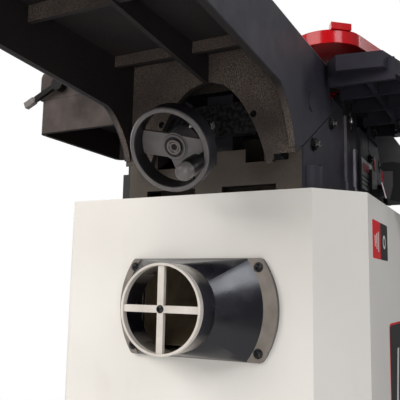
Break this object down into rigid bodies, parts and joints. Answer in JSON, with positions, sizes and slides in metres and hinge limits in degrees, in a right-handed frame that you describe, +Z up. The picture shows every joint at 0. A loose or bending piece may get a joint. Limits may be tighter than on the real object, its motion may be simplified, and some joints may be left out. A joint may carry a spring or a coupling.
{
  "type": "jointer",
  "caption": "Stationary surface planer with long tables on inclined ways, a tilting fence, a swinging guard and an enclosed stand with a dust port.",
  "frame": {"origin": "centre of the stand's floor anchor pattern, on the floor", "axes": "+X along the tables towards the infeed end, +Y to the rear, +Z up"},
  "size_m": [1.85, 0.6612, 0.9492],
  "materials": {
    "stand_enamel": "satin powder coat",
    "frame_steel": "satin black paint",
    "zinc_steel": "zinc plated",
    "port_casting": "satin grey lip and flange over a gloss dark pipe",
    "motor_paint": "satin black",
    "machined_steel": "machined",
    "pulley_alloy": "cast",
    "carbide": "ground carbide",
    "belt_rubber": "matt",
    "black_plastic": "fine texture",
    "black_casting": "painted outside, rough inside",
    "wheel_grey": "satin grey",
    "black_steel": "satin black",
    "guard_red": "gloss red",
    "scale_plate": "etched",
    "start_green": "gloss",
    "stop_red": "gloss"
  },
  "bodies": {
    "stand": {"stand_shell": "stand_enamel", "stand_top_plate": "stand_enamel", "stand_base_frame": "frame_steel", "rear_panel": "stand_enamel", "rear_panel_screws": "zinc_steel", "dust_port": "port_casting", "dust_port_screws": "zinc_steel", "cross_screw": "zinc_steel", "chip_chute": "frame_steel", "motor_mount": "frame_steel", "motor_body": "motor_paint", "motor_fan_cover": "motor_paint", "motor_terminal_box": "motor_paint", "drive_belts": "belt_rubber", "belt_guard": "black_plastic", "cable_gland": "black_plastic", "base_casting": "black_casting", "base_bolts": "zinc_steel", "gib_screws": "zinc_steel", "outfeed_gib": "black_casting", "infeed_gib": "black_casting", "bearing_blocks": "black_casting", "block_bolts": "zinc_steel", "head_bearings": "machined_steel", "outfeed_nut_block": "frame_steel", "infeed_nut_block": "frame_steel", "depth_scale": "scale_plate", "fence_bracket": "black_casting", "control_box": "black_plastic"},
    "motor_rotor": {"motor_shaft": "machined_steel", "motor_fan": "pulley_alloy", "motor_pulley": "pulley_alloy"},
    "cutter": {"cutterhead": "machined_steel", "cutter_inserts": "carbide", "head_pulley": "pulley_alloy"},
    "outfeed_table": {"outfeed_table": "black_casting", "outfeed_screw_bracket": "frame_steel"},
    "infeed_table": {"infeed_table": "black_casting", "infeed_screw_bracket": "frame_steel", "rabbet_ledge": "black_casting", "ledge_bolts": "zinc_steel", "depth_pointer": "guard_red", "guard_spring": "zinc_steel"},
    "outfeed_wheel": {"outfeed_handwheel": "wheel_grey", "outfeed_lead_screw": "machined_steel"},
    "infeed_wheel": {"infeed_handwheel": "wheel_grey", "infeed_lead_screw": "machined_steel"},
    "outfeed_grip": {"outfeed_grip": "black_plastic"},
    "infeed_grip": {"infeed_grip": "black_plastic"},
    "outfeed_lock": {"outfeed_lock_lever": "black_steel"},
    "infeed_lock": {"infeed_lock_lever": "black_steel"},
    "guard_post": {"guard_post": "zinc_steel"},
    "guard": {"cutter_guard": "guard_red"},
    "fence_carriage": {"fence_carriage": "black_casting", "fence_hinge_pins": "zinc_steel"},
    "fence": {"fence_plate": "black_casting"},
    "fence_lock": {"fence_lock_lever": "black_steel"},
    "tilt_lock": {"tilt_lock_lever": "black_steel"},
    "start_button": {"start_button": "start_green"},
    "stop_paddle": {"stop_paddle": "stop_red"}
  },
  "joints": [
    {"name": "cutterhead_spin", "type": "hinge", "parent": "stand", "child": "cutter", "pos_m": [0, 0, 0.786], "axis": [0, 1, 0], "continuous": true},
    {"name": "motor_spin", "type": "hinge", "parent": "stand", "child": "motor_rotor", "pos_m": [0, 0, 0.215], "axis": [0, 1, 0], "continuous": true},
    {"name": "outfeed_slide", "type": "slide", "parent": "stand", "child": "outfeed_table", "axis": [0.8721, 0, 0.4894], "range_m": [-0.02, 0]},
    {"name": "infeed_slide", "type": "slide", "parent": "stand", "child": "infeed_table", "axis": [-0.8721, 0, 0.4894], "range_m": [-0.026, 0]},
    {"name": "outfeed_wheel_turn", "type": "hinge", "parent": "outfeed_table", "child": "outfeed_wheel", "pos_m": [-0.354, -0.0233, 0.676], "axis": [0.8721, 0, 0.4894], "range_deg": [-1450, 10]},
    {"name": "infeed_wheel_turn", "type": "hinge", "parent": "infeed_table", "child": "infeed_wheel", "pos_m": [0.354, -0.0233, 0.676], "axis": [-0.8721, 0, 0.4894], "range_deg": [-1885, 10]},
    {"name": "outfeed_grip_spin", "type": "hinge", "parent": "outfeed_wheel", "child": "outfeed_grip", "pos_m": [-0.3469, -0.0553, 0.66336], "axis": [0.8721, 0, 0.4894], "continuous": true},
    {"name": "infeed_grip_spin", "type": "hinge", "parent": "infeed_wheel", "child": "infeed_grip", "pos_m": [0.3469, -0.0553, 0.66336], "axis": [-0.8721, 0, 0.4894], "continuous": true},
    {"name": "outfeed_lock_turn", "type": "hinge", "parent": "stand", "child": "outfeed_lock", "pos_m": [-0.18, 0.1113, 0.71808], "axis": [0, 1, 0], "range_deg": [-20, 3]},
    {"name": "infeed_lock_turn", "type": "hinge", "parent": "stand", "child": "infeed_lock", "pos_m": [0.18, -0.1406, 0.70608], "axis": [0, 1, 0], "range_deg": [-20, 3]},
    {"name": "fence_slide", "type": "slide", "parent": "stand", "child": "fence_carriage", "axis": [0, 1, 0], "range_m": [-0.1, 0]},
    {"name": "fence_tilt", "type": "hinge", "parent": "fence_carriage", "child": "fence", "pos_m": [0, 0.072, 0.8352], "axis": [1, 0, 0], "range_deg": [-45, 0]},
    {"name": "fence_lock_turn", "type": "hinge", "parent": "fence_carriage", "child": "fence_lock", "pos_m": [-0.122, 0.329, 0.871], "axis": [1, 0, 0], "range_deg": [0, 40]},
    {"name": "tilt_lock_turn", "type": "hinge", "parent": "fence_carriage", "child": "tilt_lock", "pos_m": [0.106, 0.072, 0.8352], "axis": [1, 0, 0], "range_deg": [0, 20]},
    {"name": "guard_follow", "type": "hinge", "parent": "infeed_table", "child": "guard_post", "pos_m": [0.05, -0.205, 0.827], "axis": [0, 0, 1], "range_deg": [0, 76]},
    {"name": "guard_swing", "type": "hinge", "parent": "guard_post", "child": "guard", "pos_m": [0.05, -0.205, 0.827], "axis": [0, 0, 1], "range_deg": [0, 75], "stiffness_Nm_per_rad": 1, "springref_deg": -17.19},
    {"name": "start_press", "type": "slide", "parent": "stand", "child": "start_button", "axis": [0, 0.8627, -0.5057], "range_m": [0, 0.003], "stiffness_N_per_m": 500},
    {"name": "stop_press", "type": "slide", "parent": "stand", "child": "stop_paddle", "axis": [0, 0.8627, -0.5057], "range_m": [0, 0.004], "stiffness_N_per_m": 800}
  ],
  "couplings": [
    {"joint": "motor_spin", "follows": "cutterhead_spin", "ratio": 0.61818},
    {"joint": "outfeed_wheel_turn", "follows": "outfeed_slide", "rad_per_m": 1256.6},
    {"joint": "infeed_wheel_turn", "follows": "infeed_slide", "rad_per_m": 1256.6},
    {"joint": "guard_follow", "follows": "fence_slide", "rad_per_m": -13.1}
  ]
}
